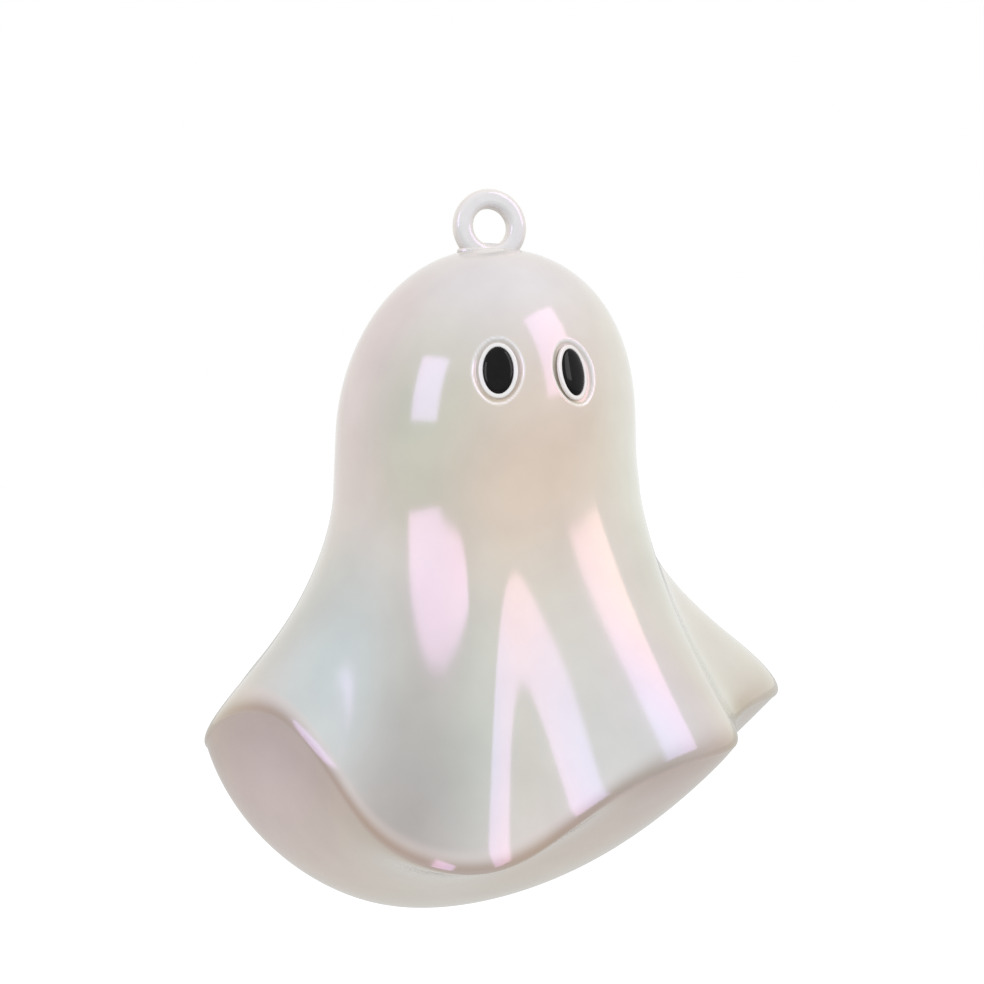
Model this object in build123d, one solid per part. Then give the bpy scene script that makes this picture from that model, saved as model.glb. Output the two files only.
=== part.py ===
import os
from math import cos, exp, radians, sin, sqrt

from build123d import *

# Ghost bauble that hangs from a ring: millimetres, +Z up, face towards -Y.
# The origin is the centre of the hanging hole, and a drop is a depth below it.

# Head and body
crown_drop = 3.2
head_radius = 20.7
head_height = 26.3
head_fullness = 2.16
body_taper = 0.065
taper_start = 8.3
skirt_drop = 36.8
skirt_spread = 3.1
lean_at_crown = 0.7
lean_at_neck = -0.7
neck_drop = 33.8

# Folds of the drape: each one's direction, reach, spread, start and curve of growth, in degrees
# and millimetres. The reach is measured at one level, and folds grow from their own start down.
reach_drop = 67.3
fold_start = 37.5
fold_curve = 1.62
folds = {
    "left_wing": (-80.6, 13.7, 25.5, fold_start, 1.8),
    "front_left": (-24.8, 7.2, 26.1, fold_start, fold_curve),
    "front_ridge": (-17.8, 2.1, 9.5, 24, 1.3),
    "cheek": (38.4, 10.1, 27.5, 25.3, 1.64),
    "right_wing": (93, 26.1, 23, fold_start, fold_curve),
    "back_right": (139, 13.2, 26, fold_start, fold_curve),
    "back": (-174, 13.2, 26, fold_start, fold_curve),
    "back_left": (-129, 13.2, 26, fold_start, fold_curve),
}

# Hem: its lowest level, and where the folds lift it
hem_lowest = 78.6
hem_lifts = {
    "left_wing": (-71.7, 14.8, 28.3),
    "front_right": (29.5, 9.5, 32.3),
    "right_wing": (83.5, 12.9, 32.5),
    "back_right": (139, 11.8, 31),
    "back": (-174, 11.8, 31),
    "back_left": (-129, 11.8, 31),
}

# The hem's edge is rounded a little all round, and more at the noses of the folds,
# which also swell outwards and down
hem_round = 0.03
bowl_round = 5
nose_hem_round = 0.079
nose_bowl_round = 10.1
nose_out = 1.0
nose_sink = 1.5
noses = {
    "left_wing": (-100, 1.16, 17.3),
    "front_right": (37, 0.37, 20),
    "right_wing": (93, 0.97, 26),
    "back_right": (139, 0.6, 20),
    "back": (-174, 0.6, 20),
    "back_left": (-129, 0.6, 20),
}

# Underside bowl: its lowest point, its oval rim, how far its section is a parabola,
# and how fast the waves of the hem fade out towards its middle
bowl_drop = 93.4
bowl_x = -8.5
bowl_y = 2.2
rim_drop = 68.8
rim_x = -2.4
rim_y = 1.0
rim_half_width = 41.0
rim_half_depth = 30.0
bowl_parabola = 0.84
bowl_fade = 4.6

# Shell wall and the lap joint of the two halves
wall = 1.6
lap_depth = 2.2
lap_gap = 0.08

# Hanging eyelet: ring, foot on the crown, square stem and flange under the collar
hole_radius = 2.57
ring_section = 2.65
ring_round = 0.95
saddle_drop = 2.37
foot_length = 9.4
foot_width = 4.6
foot_rise = 0.5
foot_round = 0.3
stem_side = 3.2
stem_gap = 0.06
flange_radius = 3.4
flange_height = 1.3
collar_radius = 4.4
collar_length = 3.0

# Eyes: oval recess, white rim and black domed pupil held by a headed stem
eye_sides = {"left": -1, "right": 1}
eye_angle = 14.9
eye_drop = 21.4
eye_tilt = {"left": -2, "right": 8}
pupil_width = 3.75
pupil_height = 6.0
pupil_skirt = 0.35
pupil_dome = 0.45
rim_band = 0.6
rim_height = 0.42
rim_round = 0.15
eye_gap = 0.04
recess_band = 0.65
recess_depth = 0.65
peg_radius = 1.0
peg_gap = 0.05
peg_head_radius = 1.7
peg_head_height = 0.6
boss_radius = 2.6
boss_depth = 3.0

# Rings of points that the shell surfaces pass through
half_turn = 125
points_round = 40
drape_rings = 17
ring_crowding = 1.6
hem_rings = 3
bowl_rings = 9
crown_flat = 0.55
bowl_flat = 2.5
step = 0.01


def bump(angle, centre, spread):
    return exp((cos(radians(angle - centre)) - 1) / (1 - cos(radians(spread))))


def growth(drop, start, curve):
    return (max(0, drop - start) / (reach_drop - start)) ** curve


def head_and_skirt(drop):
    widest = crown_drop + head_height
    rise = min(1, max(0, (widest - drop) / head_height))
    dome = head_radius * (1 - rise**head_fullness) ** (1 / head_fullness)
    below = max(0, drop - widest)
    taper = body_taper * below * below / (below + taper_start)
    return dome + taper + skirt_spread * growth(drop, skirt_drop, 2)


def drape_radius(angle, drop):
    radius = head_and_skirt(drop)
    for centre, reach, spread, start, curve in folds.values():
        radius += reach * bump(angle, centre, spread) * growth(drop, start, curve)
    return radius


def hem_drop(angle):
    lift = sum(rise * bump(angle, centre, spread) for centre, rise, spread in hem_lifts.values())
    return hem_lowest - lift


def lean(drop):
    part = min(1, max(0, (drop - crown_drop) / (neck_drop - crown_drop)))
    blend = part * part * (3 - 2 * part)
    return lean_at_crown + (lean_at_neck - lean_at_crown) * blend


def drape_point(angle, drop):
    radius = drape_radius(angle, drop)
    return Vector(lean(drop) + radius * sin(radians(angle)), -radius * cos(radians(angle)), -drop)


def bowl_point(angle, turn):
    # turn runs from 0 degrees at the hem to 90 at the lowest point
    drop = hem_drop(angle)
    edge = drape_point(angle, drop)
    around = radians(angle)
    rim = Vector(rim_x + rim_half_width * sin(around), rim_y - rim_half_depth * cos(around), -rim_drop)
    out = cos(radians(turn))
    climb = bowl_parabola * out**2 + (1 - bowl_parabola) * (1 - sqrt(max(0, 1 - out**2)))
    lowest = Vector(bowl_x, bowl_y, -bowl_drop)
    smooth = lowest + (rim - lowest) * out
    smooth = Vector(smooth.X, smooth.Y, -bowl_drop + (bowl_drop - rim_drop) * climb)
    return smooth + (edge - rim) * out**bowl_fade


def nose(angle):
    return sum(share * bump(angle, centre, spread) for centre, share, spread in noses.values())


def drape_end(angle):
    return 1 - hem_round - nose_hem_round * nose(angle)


def bowl_start(angle):
    return bowl_round + nose_bowl_round * nose(angle)


def drape_at(angle, part):
    return drape_point(angle, crown_drop + (hem_drop(angle) - crown_drop) * part)


def nose_swell(angle):
    way = radians(angle)
    return Vector(nose_out * sin(way), -nose_out * cos(way), -nose_sink) * nose(angle)


def skin_point(angle, place):
    # place runs 0 to 1 down the drape, 1 to 2 round the hem and 2 to 3 along the bowl
    if place <= 1:
        return drape_at(angle, drape_end(angle) * place**ring_crowding)
    start = bowl_start(angle)
    if place >= 2:
        return bowl_point(angle, start + (90 - start) * (place - 2))
    turn = place - 1
    above = drape_at(angle, drape_end(angle))
    corner = drape_at(angle, 1) + nose_swell(angle)
    under = bowl_point(angle, start)
    return above * (1 - turn) ** 2 + corner * (2 * turn * (1 - turn)) + under * turn**2


def inset_point(angle, place, depth):
    along = skin_point(angle, place + step) - skin_point(angle, place - step)
    around = skin_point(angle + 1, place) - skin_point(angle - 1, place)
    outward = around.cross(along).normalized() * -1
    return skin_point(angle, place) - outward * depth


def ring_places(depth):
    # inside the wall the hem's corner is left to the smooth surface between its neighbours
    inside = depth > 0
    places = [i / drape_rings for i in range(2, drape_rings + (0 if inside else 1))]
    if not inside:
        places += [1 + (i + 1) / (hem_rings + 1) for i in range(hem_rings)]
    return places + [2 + i / bowl_rings for i in range(1 if inside else 0, bowl_rings)]


def arc_section(points):
    arc = Edge.make_spline(points, parameters=list(range(len(points))))
    return Wire([arc, Edge.make_line(points[-1], points[0])])


def flat_section(points, z):
    return arc_section([Vector(point.X, point.Y, z) for point in points])


def body_half(depth, facing):
    # more than half of the body, with a flat seat on the crown and a small flat at the lowest point
    angles = [facing + half_turn * (2 * i / points_round - 1) for i in range(points_round + 1)]
    narrowed = 1 - depth / head_radius
    seat = [drape_point(angle, seat_drop()) * narrowed for angle in angles]
    bottom = [bowl_point(angle, 90 - bowl_flat) for angle in angles]
    sections = [flat_section(seat, -seat_drop() - depth)]
    for place in ring_places(depth):
        sections.append(arc_section([inset_point(angle, place, depth) for angle in angles]))
    sections.append(flat_section(bottom, -bowl_drop + depth))
    return Solid.make_loft(sections)


def slab(y_from, y_to):
    side = 2 * bowl_drop
    middle = (y_from + y_to) / 2
    return Pos(0, middle, -bowl_drop / 2) * Box(side, y_to - y_from, side)


def upright(radius, z_low, z_high):
    return Pos(0, 0, (z_low + z_high) / 2) * Cylinder(radius, z_high - z_low)


def square_post(side, z_low, z_high):
    return Pos(0, 0, (z_low + z_high) / 2) * Box(side, side, z_high - z_low)


def seat_drop():
    return crown_drop + crown_flat


def collar_bottom():
    return -(seat_drop() + wall + collar_length)


def collar_block(radius):
    return upright(radius, collar_bottom(), -seat_drop())


def stem_hole():
    return square_post(stem_side + 2 * stem_gap, collar_bottom() - wall, 0)


def front_half():
    collar = collar_block(collar_radius)
    cavity = body_half(wall, 0) - collar
    for side in eye_sides:
        cavity -= eye_plane(side) * upright(boss_radius, -boss_depth, boss_depth)
    rebate = (body_half(wall / 2, 0) & slab(-lap_depth - lap_gap, wall)) - collar
    shell = (body_half(0, 0) & slab(-bowl_drop, 0)) - cavity - rebate - stem_hole()
    for side in eye_sides:
        shell -= eye_plane(side) * eye_recess()
        shell -= eye_plane(side) * upright(peg_radius + peg_gap, -boss_depth - peg_head_height, 0)
    return shell


def rear_half():
    cavity = body_half(wall, 180)
    tongue = (body_half(wall / 2 + lap_gap, 180) & slab(-lap_depth, 0)) - cavity
    tongue -= collar_block(collar_radius + lap_gap)
    shell = (body_half(0, 180) & slab(0, bowl_drop)) - (cavity - collar_block(collar_radius))
    return shell + tongue - stem_hole()


def hanging_eyelet():
    ring_radius = hole_radius + ring_section
    lie_flat = Rot(90, 0, 0)
    ring = lie_flat * (Cylinder(ring_radius, ring_section) - Cylinder(hole_radius, ring_section))
    ring = fillet(ring.edges().filter_by(GeomType.CIRCLE), ring_round)
    web = lie_flat * Cylinder(hole_radius + ring_round, ring_section - ring_round)
    web &= square_post(2 * ring_radius, -ring_radius, -saddle_drop)
    foot = extrude(Ellipse(foot_length / 2, foot_width / 2), foot_rise)
    foot = fillet(foot.edges().group_by(Axis.Z)[-1], foot_round)
    foot = Pos(0, 0, -seat_drop()) * foot
    above = (ring + web) & square_post(2 * ring_radius, -seat_drop(), ring_radius)
    stem = square_post(stem_side, collar_bottom(), -seat_drop())
    flange = upright(flange_radius, collar_bottom() - flange_height, collar_bottom())
    return above + foot + stem + flange


def eye_plane(side):
    angle = eye_angle * eye_sides[side]
    down = drape_point(angle, eye_drop + step) - drape_point(angle, eye_drop - step)
    around = drape_point(angle + 1, eye_drop) - drape_point(angle - 1, eye_drop)
    outward = around.cross(down) * -1
    level = Vector(0, 0, 1).cross(outward)
    plane = Plane(drape_point(angle, eye_drop), x_dir=level, z_dir=outward)
    return plane.rotated((0, 0, eye_tilt[side]))


def oval(grow, z):
    return Pos(0, 0, z) * Ellipse(pupil_width / 2 + grow, pupil_height / 2 + grow)


def oval_block(grow, z_low, z_high):
    return extrude(oval(grow, z_low), z_high - z_low)


def eye_recess():
    floor_grow = rim_band + eye_gap
    floor = oval(floor_grow, -recess_depth)
    mouth = oval(floor_grow + 2 * recess_band, recess_depth)
    return loft([floor, mouth])


def eye_rim():
    top = rim_height - recess_depth
    rim = oval_block(rim_band, -recess_depth, top) - oval_block(eye_gap, -recess_depth, top)
    return fillet(rim.edges().group_by(Axis.Z)[-1], rim_round)


def pupil():
    top = pupil_skirt - recess_depth
    skirt = oval_block(0, -recess_depth, top)
    ball = scale(Sphere(1), by=(pupil_width / 2, pupil_height / 2, pupil_dome))
    dome = Pos(0, 0, top) * ball & oval_block(eye_gap, top, top + 2 * pupil_dome)
    peg = upright(peg_radius, -boss_depth, -recess_depth)
    head = upright(peg_head_radius, -boss_depth - peg_head_height, -boss_depth)
    return skirt + dome + peg + head


def write(node, shape):
    export_step(shape, f"parts/{node}.step")


os.makedirs("parts", exist_ok=True)
for side in eye_sides:
    write(f"{side}_eye_rim", eye_plane(side) * eye_rim())
    write(f"{side}_pupil", eye_plane(side) * pupil())
write("front_shell", front_half())
write("rear_shell", rear_half())
write("hanging_eyelet", hanging_eyelet())
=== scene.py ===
from math import cos, pi, radians, sin

import bpy
import numpy as np
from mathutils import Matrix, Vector


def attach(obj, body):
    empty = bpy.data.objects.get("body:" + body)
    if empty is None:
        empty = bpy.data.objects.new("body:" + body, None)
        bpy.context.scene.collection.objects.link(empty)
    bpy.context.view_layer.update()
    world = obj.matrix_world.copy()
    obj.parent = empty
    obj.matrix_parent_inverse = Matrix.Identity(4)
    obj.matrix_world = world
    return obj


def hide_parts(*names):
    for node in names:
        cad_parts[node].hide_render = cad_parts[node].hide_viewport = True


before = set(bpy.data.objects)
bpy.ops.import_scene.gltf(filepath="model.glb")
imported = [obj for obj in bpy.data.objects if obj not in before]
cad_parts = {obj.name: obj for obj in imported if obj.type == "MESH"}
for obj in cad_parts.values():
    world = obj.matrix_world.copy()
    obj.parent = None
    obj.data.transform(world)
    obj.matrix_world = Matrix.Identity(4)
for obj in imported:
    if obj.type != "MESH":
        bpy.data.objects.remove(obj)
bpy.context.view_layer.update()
mm = 0.001
print("frame loaded:", sorted(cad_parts))


def deselectAll():
    if bpy.context.object and bpy.context.object.mode != "OBJECT":
        bpy.ops.object.mode_set(mode="OBJECT")
    bpy.ops.object.select_all(action="DESELECT")


def makeActive(piece):
    deselectAll()
    piece.select_set(True)
    bpy.context.view_layer.objects.active = piece


def applyModifiers(piece):
    makeActive(piece)
    for modifier in list(piece.modifiers):
        bpy.ops.object.modifier_apply(modifier=modifier.name)


# the draped body, in millimetres below the hanging hole and degrees round from the face
drape = {
    "crownDrop": 3.2, "seatFlat": 0.55,
    "headRadius": 20.7, "headHeight": 26.3, "headFullness": 2.16,
    "bodyTaper": 0.065, "taperStart": 8.3,
    "skirtDrop": 36.8, "skirtSpread": 3.1, "skirtCurve": 2,
    "leanCrown": 0.7, "leanNeck": -0.7, "neckDrop": 33.8,
    "reachDrop": 67.3,
    # direction, reach, spread, start and curve of each fold
    "folds": [
        (-80.6, 13.7, 25.5, 37.5, 1.8), (-24.8, 7.2, 26.1, 37.5, 1.62),
        (-17.8, 2.1, 9.5, 24, 1.3), (38.4, 10.1, 27.5, 25.3, 1.64),
        (93, 26.1, 23, 37.5, 1.62), (139, 13.2, 26, 37.5, 1.62),
        (-174, 13.2, 26, 37.5, 1.62), (-129, 13.2, 26, 37.5, 1.62),
    ],
    "hemLowest": 78.6, "hemRound": 0.03, "bowlRound": 5,
    # direction, rise and spread of each lift of the hem
    "hemLifts": [
        (-71.7, 14.8, 28.3), (29.5, 9.5, 32.3), (83.5, 12.9, 32.5),
        (139, 11.8, 31), (-174, 11.8, 31), (-129, 11.8, 31),
    ],
    # direction, share and spread of each rounded point of the hem
    "noses": [
        (-100, 1.16, 17.3), (37, 0.37, 20), (93, 0.97, 26),
        (139, 0.6, 20), (-174, 0.6, 20), (-129, 0.6, 20),
    ],
    "noseHemRound": 0.079, "noseBowlRound": 10.1, "noseOut": 1.0, "noseSink": 1.5,
    "bowlDrop": 93.4, "bowlX": -8.5, "bowlY": 2.2, "bowlParabola": 0.84, "bowlFade": 4.6,
    "rimDrop": 68.8, "rimX": -2.4, "rimY": 1.0, "rimHalfWidth": 41.0, "rimHalfDepth": 30.0,
    "segments": 320, "frontCrowding": 0.55,
    # stretch of the skin, the share of it where these rows end, and their number
    "rows": [
        ("drape", 0.02, 14), ("drape", 0.17, 16), ("drape", 0.36, 54), ("drape", 1.0, 52),
        ("hem", 1.0, 24), ("bowl", 0.3, 28), ("bowl", 1.0, 30),
    ],
    "wall": 0.7, "seamStrip": 0.06, "cutReach": 0.0005, "smoothAngle": 50,
}

# the recesses of the eyes, with a painted highlight along their edge
eyes = {
    "angle": {"left": -14.9, "right": 14.9}, "tilt": {"left": -2, "right": 8}, "drop": 21.4,
    "pupilWidth": 3.75, "pupilHeight": 6.0,
    "floorGrow": 0.95, "recessDepth": 0.65, "edgeSoft": 0.07,
    "edgeHighlightWidth": 0.16, "edgeHighlightWhite": 0.84,
    "slopeDrop": 0.01, "slopeAngle": 1, "reachBack": 4, "reachOval": 3, "tiny": 1e-6,
}


def bump(angle, centre, spread):
    return np.exp((np.cos(np.radians(angle - centre)) - 1) / (1 - cos(radians(spread))))


def growth(drop, start, curve):
    return (np.maximum(0, drop - start) / (drape["reachDrop"] - start)) ** curve


def headAndSkirt(drop):
    d = drape
    widest = d["crownDrop"] + d["headHeight"]
    rise = np.clip((widest - drop) / d["headHeight"], 0, 1)
    dome = d["headRadius"] * (1 - rise ** d["headFullness"]) ** (1 / d["headFullness"])
    below = np.maximum(0, drop - widest)
    taper = d["bodyTaper"] * below * below / (below + d["taperStart"])
    return dome + taper + d["skirtSpread"] * growth(drop, d["skirtDrop"], d["skirtCurve"])


def drapePoint(angle, drop):
    d = drape
    radius = headAndSkirt(drop)
    for centre, reach, spread, start, curve in d["folds"]:
        radius = radius + reach * bump(angle, centre, spread) * growth(drop, start, curve)
    part = np.clip((drop - d["crownDrop"]) / (d["neckDrop"] - d["crownDrop"]), 0, 1)
    lean = d["leanCrown"] + (d["leanNeck"] - d["leanCrown"]) * part * part * (3 - 2 * part)
    seat = d["crownDrop"] + d["seatFlat"]
    turn = np.radians(angle)
    across, forward = lean + radius * np.sin(turn), radius * np.cos(turn)
    return np.stack([across, -forward, -np.maximum(drop, seat)], axis=-1)


def hemDrop(angle):
    lift = sum(rise * bump(angle, centre, spread) for centre, rise, spread in drape["hemLifts"])
    return drape["hemLowest"] - lift


def drapeAt(angle, part):
    return drapePoint(angle, drape["crownDrop"] + (hemDrop(angle) - drape["crownDrop"]) * part)


def bowlPoint(angle, turn):
    # a bowl on an oval rim, which takes up the waves of the hem towards its edge
    d = drape
    edge = drapePoint(angle, hemDrop(angle))
    around = np.radians(angle)
    rimAcross = d["rimX"] + d["rimHalfWidth"] * np.sin(around)
    rimAlong = d["rimY"] - d["rimHalfDepth"] * np.cos(around)
    rim = np.stack([rimAcross, rimAlong, np.full_like(around, -d["rimDrop"])], axis=-1)
    out = np.cos(np.radians(turn))
    ball = 1 - np.sqrt(np.maximum(0, 1 - out**2))
    climb = d["bowlParabola"] * out**2 + (1 - d["bowlParabola"]) * ball
    lowest = np.array([d["bowlX"], d["bowlY"], -d["bowlDrop"]])
    smooth = lowest + (rim - lowest) * out[..., None]
    smooth[..., 2] = -d["bowlDrop"] + (d["bowlDrop"] - d["rimDrop"]) * climb
    return smooth + (edge - rim) * (out ** d["bowlFade"])[..., None]


def noseShare(angle):
    return sum(share * bump(angle, centre, spread) for centre, share, spread in drape["noses"])


def drapeEnd(angle):
    return 1 - drape["hemRound"] - drape["noseHemRound"] * noseShare(angle)


def bowlStart(angle):
    return drape["bowlRound"] + drape["noseBowlRound"] * noseShare(angle)


def noseSwell(angle):
    way = np.radians(angle)
    out, sink = drape["noseOut"], np.full_like(way, -drape["noseSink"])
    swell = np.stack([out * np.sin(way), -out * np.cos(way), sink], axis=-1)
    return swell * noseShare(angle)[..., None]


def hemPoint(angle, turn):
    above = drapeAt(angle, drapeEnd(angle))
    corner = drapeAt(angle, np.ones_like(angle)) + noseSwell(angle)
    under = bowlPoint(angle, bowlStart(angle))
    t = turn[..., None]
    return above * (1 - t) ** 2 + corner * (2 * t * (1 - t)) + under * t**2


def rowPlaces():
    # 0 to 1 runs down the drape, 1 to 2 round the hem and 2 to 3 along the underside
    places = [0.0]
    reached = {"drape": 0.0, "hem": 0.0, "bowl": 0.0}
    first = {"drape": 0, "hem": 1, "bowl": 2}
    crownRows = drape["rows"][0][2]
    for stretch, end, count in drape["rows"]:
        start = reached[stretch]
        for i in range(1, count + 1):
            part = i / count
            if len(places) <= crownRows:
                part = part * part
            places.append(first[stretch] + start + (end - start) * part)
        reached[stretch] = end
    return np.array(places)


def skinPoint(angle, place):
    point = drapeAt(angle, drapeEnd(angle) * np.minimum(place, 1))
    hem = hemPoint(angle, np.clip(place - 1, 0, 1))
    start = bowlStart(angle)
    bowl = bowlPoint(angle, start + (90 - start) * np.clip(place - 2, 0, 1))
    point = np.where((place > 1)[..., None], hem, point)
    return np.where((place > 2)[..., None], bowl, point)


def eyeAxes(side):
    # centre of the eye on the skin, with its sideways, upward and outward directions
    angle = np.array(float(eyes["angle"][side]))
    drop = np.array(float(eyes["drop"]))
    stepDown, stepRound = eyes["slopeDrop"], eyes["slopeAngle"]
    centre = Vector(drapePoint(angle, drop))
    down = Vector(drapePoint(angle, drop + stepDown) - drapePoint(angle, drop - stepDown))
    around = Vector(drapePoint(angle + stepRound, drop) - drapePoint(angle - stepRound, drop))
    outward = (-around.cross(down)).normalized()
    level = Vector((0, 0, 1)).cross(outward).normalized()
    upward = outward.cross(level)
    turn = radians(eyes["tilt"][side])
    across = level * cos(turn) + upward * sin(turn)
    return centre, across, outward.cross(across), outward


def pressEyes(points):
    # lowers the skin to each recess's sloping wall and flat floor, and gives each point the weight of the
    # painted highlight along the recess edge
    edge = np.zeros(len(points))
    halfWidth, halfHeight = eyes["pupilWidth"] / 2, eyes["pupilHeight"] / 2
    soft = eyes["edgeSoft"]
    for side in ("left", "right"):
        centre, across, upward, outward = (np.array(v) for v in eyeAxes(side))
        offset = points - centre
        u, v, height = offset @ across, offset @ upward, offset @ outward
        oval = np.sqrt((u / halfWidth) ** 2 + (v / halfHeight) ** 2) + eyes["tiny"]
        grow = np.hypot(u, v) * (1 - 1 / oval)
        wallHeight = -eyes["recessDepth"] + np.maximum(0, grow - eyes["floorGrow"])
        blend = np.clip(0.5 + 0.5 * (height - wallHeight) / soft, 0, 1)
        lowered = height * (1 - blend) + wallHeight * blend - soft * blend * (1 - blend)
        near = (height > -eyes["reachBack"]) & (oval < eyes["reachOval"])
        # painted highlight: a narrow pale line where the skin meets the recess wall
        paintedLightLine = np.exp(-(((height - wallHeight) / eyes["edgeHighlightWidth"]) ** 2))
        edge = np.maximum(edge, near * paintedLightLine)
        points = points + np.where(near, lowered - height, 0)[:, None] * outward
    return points, edge


# the lacquer's colours: a ground, soft patches that paint in the pearl's sheen, with painted light and
# painted shade among them, painted shade on the underside and a painted dark reflection along the hem
zones = {
    "ground": (0.62, 0.615, 0.58), "patchWeight": 3,
    # direction, place down the skin, the spread of each and the colour
    "patches": [
        (-6, 0.43, 26, 0.16, (0.61, 0.515, 0.375)), (-46, 0.40, 20, 0.16, (0.49, 0.535, 0.37)),
        # the patches at 62 and 100 degrees, lighter towards the right limb, are painted light
        (-78, 0.35, 24, 0.25, (0.64, 0.58, 0.57)), (62, 0.45, 20, 0.25, (0.64, 0.65, 0.62)),
        (100, 0.35, 30, 0.3, (0.66, 0.66, 0.64)), (0, 0.04, 180, 0.07, (0.63, 0.64, 0.64)),
        # the patch at -32 degrees, dark in the valley left of the front ridge, is painted shade
        (-15, 0.78, 26, 0.16, (0.53, 0.56, 0.46)), (-32, 0.9, 11, 0.24, (0.26, 0.275, 0.24)),
        (-62, 0.85, 22, 0.14, (0.47, 0.57, 0.54)), (40, 0.85, 20, 0.16, (0.58, 0.57, 0.55)),
        (-130, 0.4, 30, 0.2, (0.50, 0.56, 0.47)), (165, 0.45, 34, 0.2, (0.65, 0.55, 0.44)),
        (135, 0.8, 26, 0.2, (0.48, 0.57, 0.54)), (-170, 0.85, 26, 0.16, (0.58, 0.53, 0.53)),
        (-120, 0.85, 24, 0.16, (0.53, 0.56, 0.47)),
    ],
    # painted shade on the downward-facing underside, darkest just past the hem and lighter further in
    "underside": (0.55, 0.50, 0.47), "undersideEdgeShade": (0.46, 0.41, 0.385),
    "underStart": 1.6, "innerStart": 2.0, "underFade": 0.5,
    # painted dark reflection along the rounded hem: its colour, strength, place, spread and fade at the
    # noses
    "hemDarkReflection": (0.30, 0.235, 0.15), "hemReflectionStrength": 0.8,
    "hemReflectionPlace": 1.62, "hemReflectionSpread": 0.34, "hemReflectionNoseFade": 0.75,
}


def lacquerTintAndPaintedLight(angle, place, eyeEdgeHighlight):
    z = zones
    colour = np.tile(np.array(z["ground"]), (len(angle), 1))
    total = np.ones(len(angle))
    for centre, level, spread, fall, patch in z["patches"]:
        weight = z["patchWeight"] * bump(angle, centre, spread) * np.exp(-(((place - level) / fall) ** 2))
        colour = colour + weight[:, None] * np.array(patch)
        total = total + weight
    colour = colour / total[:, None]
    # painted shade: the underside is darkened, most just past the hem
    under = np.clip((place - z["underStart"]) / z["underFade"], 0, 1)
    inner = np.clip((place - z["innerStart"]) / z["underFade"], 0, 1)
    edgeShadeColour, undersideShadeColour = np.array(z["undersideEdgeShade"]), np.array(z["underside"])
    beneathShade = edgeShadeColour + (undersideShadeColour - edgeShadeColour) * inner[:, None]
    colour = colour + (beneathShade - colour) * under[:, None]
    # painted dark reflection along the rounded hem, weaker at the noses
    paintedLightLine = np.exp(-(((place - z["hemReflectionPlace"]) / z["hemReflectionSpread"]) ** 2))
    paintedLightLine = paintedLightLine * (1 - z["hemReflectionNoseFade"] * np.clip(noseShare(angle), 0, 1))
    colour = colour + (np.array(z["hemDarkReflection"]) - colour) * (z["hemReflectionStrength"] * paintedLightLine)[:, None]
    # painted highlight: a pale line along the edge of each eye recess
    colour = colour + (eyes["edgeHighlightWhite"] - colour) * eyeEdgeHighlight[:, None]
    return np.concatenate([colour, np.ones((len(angle), 1))], axis=1).astype(np.float32)


# the body starts as a fine ball, and each of its points moves to its place on the drape, hem or underside
places = rowPlaces()
lastRow = len(places) - 1
deselectAll()
bpy.ops.mesh.primitive_uv_sphere_add(segments=drape["segments"], ring_count=lastRow, radius=1)
ghostBody = bpy.context.object
ghostBody.name = "ghostBody"
ballPoints = np.empty(len(ghostBody.data.vertices) * 3)
ghostBody.data.vertices.foreach_get("co", ballPoints)
ballPoints = ballPoints.reshape(-1, 3)
row = np.rint(np.arccos(np.clip(ballPoints[:, 2], -1, 1)) / pi * lastRow).astype(int)
turnRound = np.arctan2(ballPoints[:, 0], -ballPoints[:, 1])
angleRound = np.degrees(turnRound - drape["frontCrowding"] * np.sin(turnRound))
skin, eyeEdgeHighlight = pressEyes(skinPoint(angleRound, places[row]))
ghostBody.data.vertices.foreach_set("co", (skin * mm).ravel())
ghostBody.data.update()
# each point gets its lacquer tint, with the painted sheen, painted light and shade and the painted
# highlight round the eyes
tint = ghostBody.data.attributes.new("pearlTintAndPaintedLight", "FLOAT_COLOR", "POINT")
tint.data.foreach_set("color", lacquerTintAndPaintedLight(angleRound, places[row], eyeEdgeHighlight).ravel())
print("body shaped:", len(skin), "points")


# the body is parted front from back, with a narrow strip along the seam that keeps the shading continuous
def bisectBody(piece, y, **clear):
    makeActive(piece)
    bpy.ops.object.mode_set(mode="EDIT")
    bpy.ops.mesh.select_all(action="SELECT")
    reach = drape["cutReach"] * mm
    bpy.ops.mesh.bisect(plane_co=(0, y, 0), plane_no=(0, 1, 0), threshold=reach, **clear)
    bpy.ops.object.mode_set(mode="OBJECT")


for y in (-drape["seamStrip"] * mm, drape["seamStrip"] * mm):
    bisectBody(ghostBody, y)


def shellHalf(name, node, **clear):
    makeActive(ghostBody)
    bpy.ops.object.duplicate()
    half = bpy.context.object
    half.name = name
    bisectBody(half, 0, **clear)
    thick = half.modifiers.new("wall", "SOLIDIFY")
    thick.thickness = drape["wall"] * mm
    thick.offset = -1
    applyModifiers(half)
    bpy.ops.object.shade_smooth_by_angle(angle=radians(drape["smoothAngle"]))
    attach(half, "root")
    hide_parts(node)
    half.data.calc_loop_triangles()
    print("shell parted:", name, len(half.data.loop_triangles), "triangles")
    return half


frontSkin = shellHalf("frontShell", "front_shell", clear_outer=True)
rearSkin = shellHalf("rearShell", "rear_shell", clear_inner=True)
bpy.data.objects.remove(ghostBody)


def newMaterial(name):
    material = bpy.data.materials.new(name)
    material.use_nodes = True
    nodes = material.node_tree.nodes
    return material, nodes, material.node_tree.links, nodes["Principled BSDF"]


def objectNoise(nodes, links, scale, detail):
    place = nodes.new("ShaderNodeTexCoord")
    noise = nodes.new("ShaderNodeTexNoise")
    noise.inputs["Scale"].default_value = scale
    noise.inputs["Detail"].default_value = detail
    links.new(place.outputs["Object"], noise.inputs["Vector"])
    return noise.outputs["Fac"]


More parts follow.
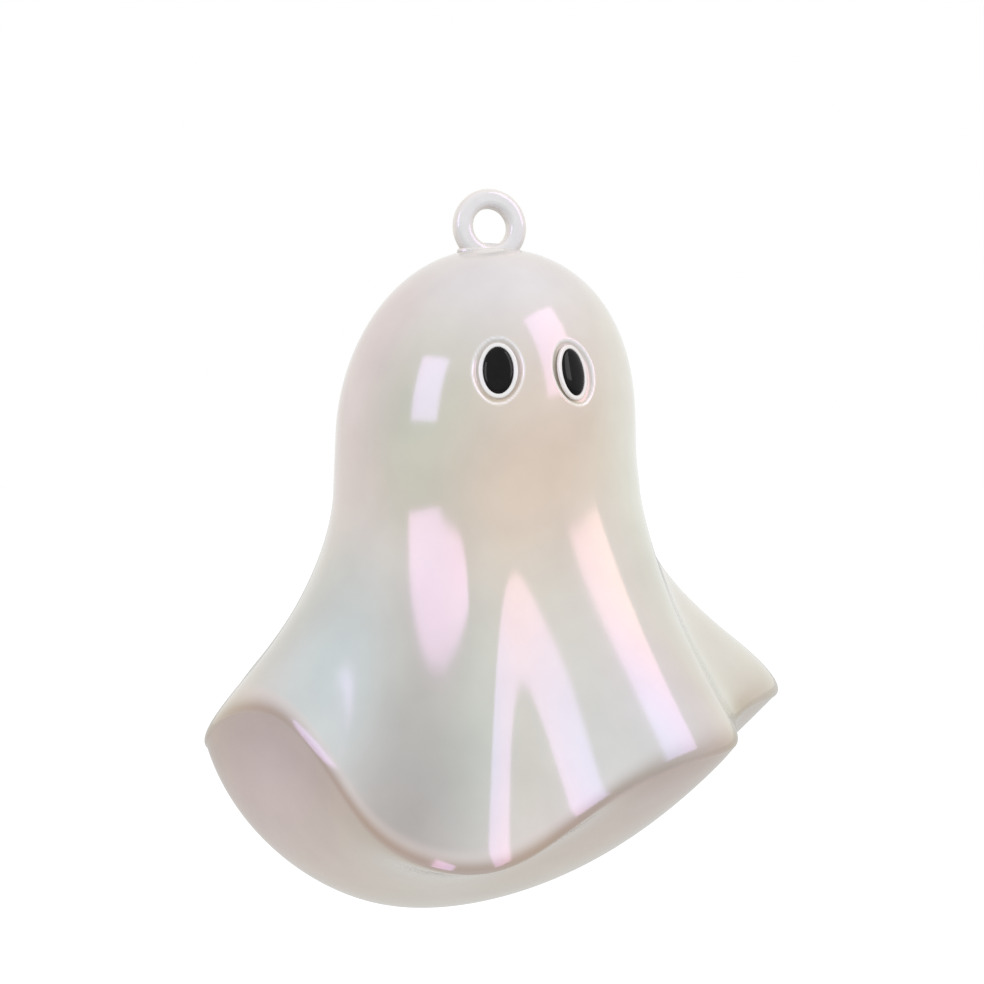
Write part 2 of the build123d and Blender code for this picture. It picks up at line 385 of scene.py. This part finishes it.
def mapRange(nodes, links, source, span, toSpan):
    scale = nodes.new("ShaderNodeMapRange")
    scale.inputs["From Min"].default_value, scale.inputs["From Max"].default_value = span
    scale.inputs["To Min"].default_value, scale.inputs["To Max"].default_value = toSpan
    links.new(source, scale.inputs["Value"])
    return scale.outputs["Result"]


def dress(piece, material):
    piece.data.materials.clear()
    piece.data.materials.append(material)


# pearl lacquer: the zones' soft tints, which carry painted sheen, painted light and painted shade, under an
# interference film whose thickness drifts over the body
pearl = {
    "film": (318, 360), "filmIor": 1.65, "driftScale": 24, "driftDetail": 1, "driftSpan": (0.35, 0.65),
    "mottle": (0.96, 1.04), "mottleScale": 140, "mottleDetail": 3, "mottleSpan": (0.3, 0.7),
    "roughness": 0.12, "ior": 1.5,
}


def pearlLacquer():
    material, nodes, links, shader = newMaterial("pearlLacquer")
    tintNode = nodes.new("ShaderNodeAttribute")
    tintNode.attribute_name = "pearlTintAndPaintedLight"
    mottle = objectNoise(nodes, links, pearl["mottleScale"], pearl["mottleDetail"])
    shade = nodes.new("ShaderNodeMix")
    shade.data_type = "RGBA"
    shade.blend_type = "MULTIPLY"
    shade.inputs["Factor"].default_value = 1
    links.new(tintNode.outputs["Color"], shade.inputs["A"])
    links.new(mapRange(nodes, links, mottle, pearl["mottleSpan"], pearl["mottle"]), shade.inputs["B"])
    links.new(shade.outputs["Result"], shader.inputs["Base Color"])
    drift = objectNoise(nodes, links, pearl["driftScale"], pearl["driftDetail"])
    film = mapRange(nodes, links, drift, pearl["driftSpan"], pearl["film"])
    links.new(film, shader.inputs["Thin Film Thickness"])
    shader.inputs["Thin Film IOR"].default_value = pearl["filmIor"]
    shader.inputs["Roughness"].default_value = pearl["roughness"]
    shader.inputs["IOR"].default_value = pearl["ior"]
    return material


# eyelet, eye rims and pupils: two close colours in a fine grain, with the roughness following it
trim = {
    "grainDetail": 3, "grainSpan": (0.3, 0.7), "roughnessSpan": (0.8, 1.25),
    "eyelet": {"low": (0.70, 0.70, 0.675), "high": (0.74, 0.735, 0.71),
               "roughness": 0.1, "scale": 500, "film": 345, "gloss": 0.5},
    "rim": {"low": (0.76, 0.76, 0.73), "high": (0.80, 0.80, 0.77),
            "roughness": 0.15, "scale": 500, "film": 345, "gloss": 0.5},
    "pupil": {"low": (0.003, 0.003, 0.004), "high": (0.007, 0.006, 0.006),
              "roughness": 0.06, "scale": 900, "film": 0, "gloss": 0.14},
}


def speckled(name, look):
    material, nodes, links, shader = newMaterial(name)
    grain = objectNoise(nodes, links, look["scale"], trim["grainDetail"])
    ramp = nodes.new("ShaderNodeValToRGB")
    colours = (look["low"], look["high"])
    for stop, place, colour in zip(ramp.color_ramp.elements, trim["grainSpan"], colours):
        stop.position = place
        stop.color = (*colour, 1)
    links.new(grain, ramp.inputs["Fac"])
    links.new(ramp.outputs["Color"], shader.inputs["Base Color"])
    roughness = [look["roughness"] * share for share in trim["roughnessSpan"]]
    links.new(mapRange(nodes, links, grain, trim["grainSpan"], roughness), shader.inputs["Roughness"])
    shader.inputs["Thin Film Thickness"].default_value = look["film"]
    shader.inputs["Thin Film IOR"].default_value = pearl["filmIor"]
    shader.inputs["Specular IOR Level"].default_value = look["gloss"]
    return material


pearlMaterial = pearlLacquer()
dress(frontSkin, pearlMaterial)
dress(rearSkin, pearlMaterial)
dress(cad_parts["hanging_eyelet"], speckled("eyeletPearl", trim["eyelet"]))
for side in ("left", "right"):
    dress(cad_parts[side + "_eye_rim"], speckled(side + "RimWhite", trim["rim"]))
    dress(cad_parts[side + "_pupil"], speckled(side + "PupilBlack", trim["pupil"]))
print("materials set")


# stage: the figure hangs above a plain pale floor in a white studio, in metres
stage = {
    "floorDrop": 0.30, "floorSize": 60.0, "floorLift": 0.45,
    "floorWhite": (0.88, 0.88, 0.88), "floorRoughness": 0.8,
    "worldStrength": 0.76, "worldSeen": 1.0,
    "cameraDistance": 0.1851, "cameraTurn": -18.57, "cameraDrop": 34.75 * mm,
    "lens": 48.7, "sensor": 36, "clipStart": 0.01, "shift": (2.5 / 984, -15 / 984),
}
white = (1, 1, 1, 1)
deselectAll()
bpy.ops.mesh.primitive_plane_add(size=stage["floorSize"], location=(0, 0, -stage["floorDrop"]))
floor = bpy.context.object
floor.name = "studioFloor"
bpy.ops.object.transform_apply(location=True)
floorMaterial, floorNodes, floorLinks, floorShader = newMaterial("paleFloor")
floorShader.inputs["Base Color"].default_value = (*stage["floorWhite"], 1)
floorShader.inputs["Roughness"].default_value = stage["floorRoughness"]
floorShader.inputs["Specular IOR Level"].default_value = 0
floorShader.inputs["Emission Color"].default_value = white
floorPath = floorNodes.new("ShaderNodeLightPath")
lift = mapRange(floorNodes, floorLinks, floorPath.outputs["Is Camera Ray"], (0, 1), (0, stage["floorLift"]))
floorLinks.new(lift, floorShader.inputs["Emission Strength"])
dress(floor, floorMaterial)

# the world is a little brighter where it is seen directly, in gloss or through a piece than where it lights
world = bpy.data.worlds.new("studio")
bpy.context.scene.world = world
world.use_nodes = True
worldNodes, worldLinks = world.node_tree.nodes, world.node_tree.links
background = worldNodes["Background"]
background.inputs["Color"].default_value = white
path = worldNodes.new("ShaderNodeLightPath")
seen = path.outputs["Is Camera Ray"]
for ray in ("Is Glossy Ray", "Is Transmission Ray"):
    either = worldNodes.new("ShaderNodeMath")
    either.operation = "MAXIMUM"
    worldLinks.new(seen, either.inputs[0])
    worldLinks.new(path.outputs[ray], either.inputs[1])
    seen = either.outputs["Value"]
strength = mapRange(worldNodes, worldLinks, seen, (0, 1), (stage["worldStrength"], stage["worldSeen"]))
worldLinks.new(strength, background.inputs["Strength"])

turn = radians(stage["cameraTurn"])
toCamera = Vector((sin(turn), -cos(turn), 0))
toRight = Vector((cos(turn), sin(turn), 0))
upright = Vector((0, 0, 1))
centre = Vector((0, 0, -stage["cameraDrop"]))

# degrees to the right of the camera and up, distance and size in metres, and watts
softBoxes = {
    "keyBox": {"right": 59, "up": 36, "distance": 0.55, "size": (0.25, 0.42), "power": 1.14},
    "sideBox": {"right": -46, "up": 23, "distance": 0.55, "size": (0.2, 0.27), "power": 0.75},
}
for name, box in softBoxes.items():
    side, lift = radians(box["right"]), radians(box["up"])
    aim = (toCamera * cos(side) + toRight * sin(side)) * cos(lift) + upright * sin(lift)
    lamp = bpy.data.lights.new(name, "AREA")
    lamp.shape = "RECTANGLE"
    lamp.size, lamp.size_y = box["size"]
    lamp.energy = box["power"]
    lampObject = bpy.data.objects.new(name, lamp)
    bpy.context.collection.objects.link(lampObject)
    lampObject.location = centre + aim * box["distance"]
    lampObject.rotation_euler = aim.to_track_quat("Z", "Y").to_euler()
    lampObject.visible_camera = False

cameraData = bpy.data.cameras.new("photoCamera")
cameraData.lens = stage["lens"]
cameraData.sensor_width = stage["sensor"]
cameraData.shift_x, cameraData.shift_y = stage["shift"]
cameraData.clip_start = stage["clipStart"]
camera = bpy.data.objects.new("photoCamera", cameraData)
bpy.context.collection.objects.link(camera)
camera.location = centre + toCamera * stage["cameraDistance"]
camera.rotation_euler = toCamera.to_track_quat("Z", "Y").to_euler()
bpy.context.scene.camera = camera
bpy.context.scene.view_settings.view_transform = "Standard"
print("stage, lamps and camera set")
